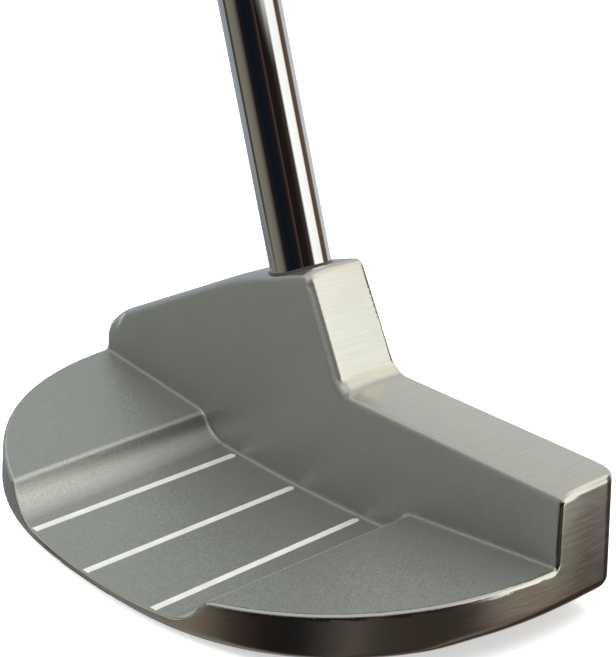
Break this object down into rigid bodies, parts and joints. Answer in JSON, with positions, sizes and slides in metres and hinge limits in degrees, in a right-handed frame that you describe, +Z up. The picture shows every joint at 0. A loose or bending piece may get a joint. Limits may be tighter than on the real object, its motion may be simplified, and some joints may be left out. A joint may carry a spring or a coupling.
{
  "type": "mallet putter",
  "caption": "Right-handed mid-mallet putter: D-shaped cast head with a humped blade and lined rear channel, straight stepped shaft and pistol grip.",
  "frame": {"origin": "on the flat of the sole, straight below the plane of the recess wall, midway between heel and toe", "axes": "+X to the toe, +Y out of the striking face towards the target, +Z up, with the club at its address lie"},
  "size_m": [0.349, 0.0581, 0.8171],
  "materials": {
    "casting_steel": "brushed stainless steel with fine scratches, polished at the edge of the recess",
    "recess_coat": "fine-grained metallic grey coat with a slight green tint, satin",
    "line_enamel": "off-white enamel, slightly glossy",
    "shaft_chrome": "mirror chrome plate on stepped steel tube",
    "epoxy": "cured dark epoxy",
    "tape": "double-sided masking tape",
    "grip_rubber": "matte moulded rubber with a fine dimple texture",
    "cap_rubber": "harder, smoother rubber"
  },
  "bodies": {
    "root": {"head_casting": "casting_steel", "recess_coat": "recess_coat", "sight_line_heel": "line_enamel", "sight_line_centre": "line_enamel", "sight_line_toe": "line_enamel", "shaft": "shaft_chrome", "shaft_bond": "epoxy", "grip_tape": "tape", "grip": "grip_rubber", "grip_cap": "cap_rubber"}
  },
  "joints": []
}
